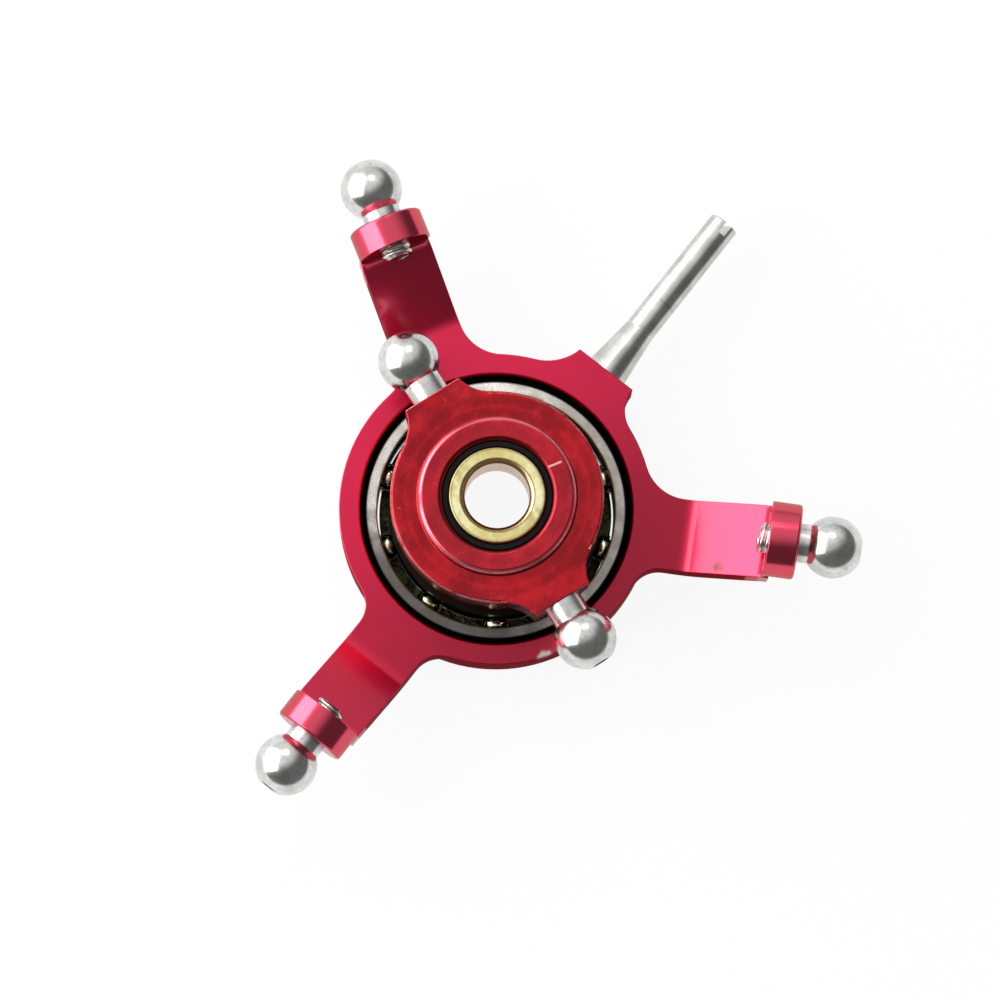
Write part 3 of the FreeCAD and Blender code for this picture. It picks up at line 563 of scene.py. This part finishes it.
# %% Studs
def stud_steel(name, mount):
    finish = Finish(name)
    point, (x, y, _) = finish.place()
    along = x * mount["axis"][0] + y * mount["axis"][1]
    ball_start = Vector(mount["pos_m"]).length / MM - 2.1
    rings = finish.noise(finish.vector(along * 10.0, 0.0, 0.0), 1.0, 4.0, 0.6)
    cloud = finish.noise(point, 0.9, 3.0)
    handled = finish.noise(point, 2.2, 5.0, 0.65)
    shank = finish.ramp(along, ball_start, ball_start - 0.2)
    face = finish.mix(finish.ramp(cloud, 0.3, 0.7), colour(226, 227, 225), colour(202, 203, 200))
    face = finish.mix(finish.ramp(handled, 0.5, 0.68) * 0.35, face, colour(150, 150, 148))
    face = finish.mix(shank * 0.25, face, colour(150, 150, 146))
    return finish.shader(
        Base_Color=face,
        Metallic=1.0,
        Roughness=0.2 + (handled - 0.5) * 0.2 + shank * 0.06,
        Normal=finish.bump(rings * shank + handled * 0.5, 0.006),
    )


stud_finishes = {}
for name in nodes:
    if "_stud_" in name:
        ball_mount = mounts[name.replace("_stud_", "_ball_")]
        stud_finishes[name] = stud_steel("steel_of_" + name, ball_mount)
print("stud finishes:", list(stud_finishes))

# %% [markdown]
# ## Steel of the anti-rotation pin
# The pin slides in a guide beside the mast and keeps the fixed star from turning. It is turned along
# Y, so its rings are noise read along Y. One faint dark line goes part of the way round it.

# %% Anti-rotation pin
faint_line = -20.9


def turned_pin():
    finish = Finish("pin_steel")
    point, (_, y, _) = finish.place()
    rings = finish.noise(finish.vector(y * 5.0, 0.0, 0.0), 1.0, 3.0, 0.6)
    cloud = finish.noise(point, 0.7, 3.0)
    line = finish.ramp(abs(y - faint_line), 0.1, 0.03) * finish.ramp(cloud, 0.4, 0.55)
    face = finish.mix(finish.ramp(cloud, 0.3, 0.7), colour(214, 214, 210), colour(190, 190, 184))
    face = finish.mix(line * 0.25, face, colour(90, 88, 84))
    return finish.shader(
        Base_Color=face,
        Metallic=1.0,
        Roughness=0.26 + (rings - 0.5) * 0.12,
        Normal=finish.bump(rings - line, 0.003),
    )


pin_steel = turned_pin()
print(pin_steel.name, "has", len(pin_steel.node_tree.nodes), "nodes")

# %% [markdown]
# ## Small parts with an even finish
# The seats are black plastic, the lock ring dark aluminium, the snap ring spring steel. The cage is
# pressed steel under oily grease, so it is dark, smooth and wavy, and the bearing balls are polished
# and tinted by the same oil. None of them needs a mark in a certain place, so one function with two
# colours, a roughness and a grain serves them all. A low specular level keeps the plastic black.


# %% Small parts
def plain_part(name, light, dark, rough, grain_scale, depth=0.004, metallic=1.0):
    finish = Finish(name)
    point = finish.place()[0]
    grain = finish.noise(point, grain_scale, 4.0, 0.65)
    cloud = finish.noise(point, 0.8, 3.0)
    return finish.shader(
        Base_Color=finish.mix(finish.ramp(cloud, 0.3, 0.7), light, dark),
        Metallic=metallic,
        Specular_IOR_Level=0.12,
        Roughness=rough + (grain - 0.5) * 0.15,
        Normal=finish.bump(grain, depth),
    )


black_plastic = plain_part(
    "black_plastic", colour(16, 15, 14), colour(9, 9, 9), 0.6, 7.0, metallic=0.0
)
dark_aluminium = plain_part("dark_aluminium", colour(84, 82, 84), colour(60, 58, 62), 0.35, 8.0)
spring_steel = plain_part("spring_steel", colour(92, 92, 94), colour(64, 62, 62), 0.35, 8.0)
cage_steel = plain_part("cage_steel", colour(74, 76, 50), colour(26, 28, 20), 0.16, 1.4, 0.2)
ball_steel = plain_part(
    "bearing_ball_steel", colour(244, 246, 214), colour(214, 222, 160), 0.08, 5.0
)
thread_steel = plain_part("thread_steel", colour(220, 220, 216), colour(190, 190, 186), 0.22, 6.0)
print("finishes so far:", len(bpy.data.materials))

# %% [markdown]
# ## Dressing the CAD nodes
# Each CAD node arrives with one material slot. Putting a finish there leaves the mesh as it is, which
# is all that a CAD node allows. A table of names makes it easy to see that every node is dressed.

# %% Put the finishes on the CAD nodes
finishes = {
    "outer_star": red_star,
    "rotating_star": red_rotor,
    "uniball": brass,
    "bearing_outer_race": race_steel,
    "bearing_inner_race": greasy_race_steel,
    "bearing_balls": ball_steel,
    "bearing_cage": cage_steel,
    "seat_upper": black_plastic,
    "seat_lower": black_plastic,
    "seat_lock_ring": dark_aluminium,
    "snap_ring": spring_steel,
    "anti_rotation_pin": pin_steel,
    **stud_finishes,
}
for name, material in finishes.items():
    nodes[name].material_slots[0].material = material
print(len(finishes), "of", len(nodes), "nodes have a finish")

# %% [markdown]
# ## A grower for repeated pieces
# Balls in a bearing and the turns of a thread follow a rule, so a Geometry Nodes tree can draw them
# from a few numbers. A grower is such a tree with named inputs. When it has run once, its result is
# kept as a plain mesh, and the modifier goes.


# %% Grower
class Grower(Tree):
    """A Geometry Nodes tree with named inputs that ends as one plain piece."""

    def __init__(self, name, inputs):
        super().__init__(bpy.data.node_groups.new(name, "GeometryNodeTree"))
        face = self.tree.interface
        face.new_socket("Geometry", in_out="OUTPUT", socket_type="NodeSocketGeometry")
        self.keys = {}
        for label, kind in inputs.items():
            made = face.new_socket(label, in_out="INPUT", socket_type="NodeSocket" + kind)
            self.keys[label] = made.identifier
        start = self.tree.nodes.new("NodeGroupInput")
        self.given = {label: Flow(self.tree, start.outputs[label]) for label in inputs}

    def finish(self, shape, material):
        """Close the tree: real geometry, with its material."""
        shape = self.node("GeometryNodeRealizeInstances", None, {"Geometry": shape})
        shape = self.node(
            "GeometryNodeSetMaterial", None, {"Geometry": shape, "Material": material}
        )
        self.node("NodeGroupOutput", None, {0: shape})

    def grow(self, name, values):
        """Run the tree with these values; the result is a plain mesh object."""
        host = bpy.data.objects.new(name + "_grower", bpy.data.meshes.new(name + "_grower"))
        bpy.context.scene.collection.objects.link(host)
        modifier = host.modifiers.new("Grow", "NODES")
        modifier.node_group = self.tree
        for label, value in values.items():
            modifier[self.keys[label]] = value
        bpy.context.view_layer.update()
        grown = host.evaluated_get(bpy.context.evaluated_depsgraph_get())
        mesh = bpy.data.meshes.new_from_object(grown)
        host.modifiers.remove(modifier)
        bpy.data.objects.remove(host)
        mesh.name = name
        piece = bpy.data.objects.new(name, mesh)
        bpy.context.scene.collection.objects.link(piece)
        print(name, "has", len(mesh.polygons), "faces")
        return piece


print("a grower can", [n for n in vars(Grower) if not n.startswith("_")])

# %% [markdown]
# ## Balls of the bearing: the tree
# Ten small polished balls run between the races. They could be ten spheres placed by hand, but they
# follow a rule: a circle of points with a sphere on each. The radius and height of the circle, the
# size of the balls, their number and the angle of the first ball are the tree's inputs.


# %% Tree that sets balls on a circle
def ball_train_tree(material):
    train = Grower(
        "Ball train",
        {"Circle": "Float", "Level": "Float", "Ball": "Float", "Number": "Int", "First": "Float"},
    )
    given = train.given
    ring = train.node(
        "GeometryNodeMeshCircle", None, {"Vertices": given["Number"], "Radius": given["Circle"]}
    )
    turned = train.vector(0.0, 0.0, given["First"])
    raised = train.vector(0.0, 0.0, given["Level"])
    ring = train.node(
        "GeometryNodeTransform", None, {"Geometry": ring, "Rotation": turned, "Translation": raised}
    )
    ball = train.node(
        "GeometryNodeMeshUVSphere", None, {"Segments": 48, "Rings": 24, "Radius": given["Ball"] * 0.5}
    )
    ball = train.node("GeometryNodeSetShadeSmooth", None, {"Geometry": ball})
    placed = train.node("GeometryNodeInstanceOnPoints", None, {"Points": ring, "Instance": ball})
    train.finish(placed, material)
    return train


ball_train = ball_train_tree(ball_steel)
print("the ball tree has", len(ball_train.tree.nodes), "nodes")

# %% [markdown]
# ## Balls of the bearing: the piece
# The CAD balls are made of flat facets, and a polished ball shows them in every reflection. So this
# piece takes their place with a rounder outline. The height of the circle is read from the box of the
# CAD node; the other sizes are those of the CAD bearing.

# %% Bearing balls
balls_low, balls_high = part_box("bearing_balls")
balls = ball_train.grow(
    "bearing_balls_round",
    {
        "Circle": 8.8 * MM,
        "Level": (balls_low[2] + balls_high[2]) / 2,
        "Ball": 1.8 * MM,
        "Number": 10,
        "First": math.radians(19.8),
    },
)
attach(balls, "ball_train")
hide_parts("bearing_balls")

# %% [markdown]
# ## Threads on the stud tips: the tree
# Each arm stud is screwed in from outside, and its tip comes out of the inner face of the boss. The
# CAD tip is turned down to the root of the thread, and a ridge wound round it makes the thread. Rings
# would be simpler, but a real thread climbs, which shows at its ends. So a spiral has a small
# profile swept along it. The spiral rises along Z; a turn lays it along the stud.


# %% Tree that winds a ridge
def thread_tree(material):
    thread = Grower(
        "Thread ridge",
        {
            "Root": "Float",
            "Crest": "Float",
            "Turns": "Float",
            "Length": "Float",
            "Start": "Vector",
            "Bearing": "Float",
        },
    )
    given = thread.given
    wound = thread.node(
        "GeometryNodeCurveSpiral",
        None,
        {
            "Resolution": 40,
            "Rotations": given["Turns"],
            "Start Radius": given["Root"],
            "End Radius": given["Root"],
            "Height": given["Length"],
        },
    )
    wound = thread.node("GeometryNodeSetCurveNormal", {"mode": "Z_UP"}, {"Curve": wound})
    profile = thread.node(
        "GeometryNodeCurvePrimitiveCircle",
        {"mode": "RADIUS"},
        {"Resolution": 6, "Radius": given["Crest"] - given["Root"]},
    )
    ridge = thread.node(
        "GeometryNodeCurveToMesh",
        None,
        {"Curve": wound, "Profile Curve": profile, "Fill Caps": True},
    )
    ridge = thread.node("GeometryNodeSetShadeSmooth", None, {"Geometry": ridge})
    laid = thread.vector(0.0, math.pi / 2, given["Bearing"])
    ridge = thread.node(
        "GeometryNodeTransform",
        None,
        {"Geometry": ridge, "Rotation": laid, "Translation": given["Start"]},
    )
    thread.finish(ridge, material)
    return thread


thread_ridge = thread_tree(thread_steel)
print("the thread tree has", len(thread_ridge.tree.nodes), "nodes")

# %% [markdown]
# ## Threads on the stud tips: the pieces
# Three studs have such a tip. The direction of each comes from the mount of its ball, and the thread
# starts and ends at the same distances from the mast on all three. The pitch is the usual one of a
# metric thread 2.5 mm across.

# %% Thread ridges
thread_pitch = 0.45 * MM
thread_start = 20.36 * MM
thread_end = 21.2 * MM
for place, mount in mounts.items():
    if not place.startswith("arm_ball"):
        continue
    way = Vector(mount["axis"])
    ridge = thread_ridge.grow(
        place.replace("arm_ball", "arm_thread"),
        {
            "Root": 1.0 * MM,
            "Crest": 1.22 * MM,
            "Turns": (thread_end - thread_start) / thread_pitch,
            "Length": thread_end - thread_start,
            "Start": way * thread_start,
            "Bearing": math.atan2(way.y, way.x),
        },
    )
    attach(ridge, "fixed_star")

# %% [markdown]
# ## The table
# The object lies on a white table. A big plane just under it takes its soft shadow; it lies a hair
# lower than the CAD model, so that two faces never share one place. Light Path tells whether the
# camera or a mirror-like surface looks at the plane: they see mostly plain white, while light that
# bounces off it for real stays that of white board.

# %% Floor
table_half = 1.2
table_mesh = bpy.data.meshes.new("table")
table_mesh.from_pydata(
    [(x * table_half, y * table_half, 0) for x, y in ((-1, -1), (1, -1), (1, 1), (-1, 1))],
    [],
    [(0, 1, 2, 3)],
)
table_mesh.transform(Matrix.Translation((0, 0, cad_low[2] - 0.02 * MM)))
table = bpy.data.objects.new("table", table_mesh)
bpy.context.scene.collection.objects.link(table)

paper = Finish("table_white")
seen = paper.node("ShaderNodeLightPath", output="Is Camera Ray")
mirrored = paper.node("ShaderNodeLightPath", output="Is Glossy Ray")
board = paper.node("ShaderNodeBsdfDiffuse", None, {"Color": (0.82, 0.82, 0.82, 1.0)})
glow = paper.node("ShaderNodeEmission", None, {"Color": (1.0, 1.0, 1.0, 1.0), "Strength": 1.0})
shade = paper.node("ShaderNodeMixShader", None, {0: seen * 0.92 + mirrored * 0.7, 1: board, 2: glow})
paper.node("ShaderNodeOutputMaterial", None, {"Surface": shade})
table_mesh.materials.append(paper.material)
print("table at", round(cad_low[2] / MM, 2), "mm")

# %% [markdown]
# ## The camera
# The view comes from high above with a long lens, nearly straight down the mast, and the object lies
# turned under it. The camera is placed by three unit vectors: back points from the object to the
# camera, right and up lie in the picture. They are written for an object that lies square in the
# picture and then turned about Z by the angle at which it really lies. The focal length is given in
# widths of the picture, and the two shifts are shares of that width.

# %% Camera
lie = math.radians(141.881)
tip_up = math.radians(8.492)
tip_side = math.radians(-0.839)
distance = 0.4931
aim = Vector((0, 0, -4.7 * MM))
back = Vector((math.sin(tip_side), -math.tan(tip_up), math.cos(tip_side))) * math.cos(tip_up)
right = Vector((0, 1, 0)).cross(back).normalized()
up = back.cross(right)
turn_back = Matrix.Rotation(-lie, 3, "Z")
pose = Matrix((turn_back @ right, turn_back @ up, turn_back @ back)).transposed().to_4x4()
pose.translation = turn_back @ back * distance + aim
lens = bpy.data.cameras.new("view")
lens.sensor_width = 36
lens.lens = 6.364036 * lens.sensor_width
lens.shift_x = 0.0044955
lens.shift_y = 0.0079421
lens.clip_start = 0.01
camera = bpy.data.objects.new("view", lens)
camera.matrix_world = pose
bpy.context.scene.collection.objects.link(camera)
bpy.context.scene.camera = camera
print("camera", [round(v, 3) for v in pose.translation], "lens", round(lens.lens, 1), "mm")

# %% [markdown]
# ## The light
# Polished metal shows what stands round it, so the light is part of the finish: a broad soft window
# at the left of the picture and a small lamp above. The lamps are aimed at the object; their strength
# is given as radiance, how bright their face looks, and turned into watts from their area, so that a
# lamp can change its size and still look as bright in a ball.


# %% Soft lamps
def lamp(name, side, rise, away, wide, tall, radiance):
    """Area lamp: `side` is its bearing in the picture (0 right, 90 up), `rise` above the table."""
    light = bpy.data.lights.new(name, "AREA")
    light.shape = "RECTANGLE"
    light.size = wide
    light.size_y = tall
    light.energy = radiance * math.pi * wide * tall
    side = math.radians(side)
    rise = math.radians(rise)
    level = math.cos(rise)
    toward = turn_back @ Vector((math.cos(side) * level, math.sin(side) * level, math.sin(rise)))
    made = bpy.data.objects.new(name, light)
    facing = toward.to_track_quat("Z", "Y").to_matrix().to_4x4()
    made.matrix_world = Matrix.Translation(toward * away) @ facing
    bpy.context.scene.collection.objects.link(made)
    print(name, "gives", round(light.energy, 2), "W")


lamp("window", 168, 30, 0.6, 0.85, 0.66, 4.2)
lamp("small_lamp", 92, 52, 0.6, 0.17, 0.17, 3.6)

# %% [markdown]
# ## The surroundings
# A polished ball also shows the room. One even colour would make it flat, so the world is a pale grey
# that is brightest high up at the upper left of the picture and falls off softly to the other side.
# Its direction is turned with the object, as the lamps are, and the plain view transform shows
# colours as they are written.

# %% Surroundings
world = bpy.data.worlds.new("studio")
bpy.context.scene.world = world
world.use_nodes = True
studio = Tree(world.node_tree)
outward = studio.node("ShaderNodeTexCoord", output="Generated")
bright_side = turn_back @ Vector((-0.35, 0.6, 0.7)).normalized()
dim = 0.15
bright = 0.9
level = studio.ramp(studio.along(outward, bright_side), 0.3, 0.85, dim, bright)
sky = studio.node("ShaderNodeBackground", None, {"Color": (1.0, 1.0, 1.0, 1.0), "Strength": level})
studio.node("ShaderNodeOutputWorld", None, {"Surface": sky})
bpy.context.scene.view_settings.view_transform = "Standard"
print("surroundings from", dim, "to", bright)

# %% [markdown]
# ## The scene brought up to date
# Rounding moves edges by hundredths of a millimetre and leaves the outermost faces in place, and the
# made pieces lie inside the box of the CAD model. So the box of what is seen must match the one that
# was kept at the start; this cell only brings the scene up to date.

# %% Bring the scene up to date
bpy.context.view_layer.update()
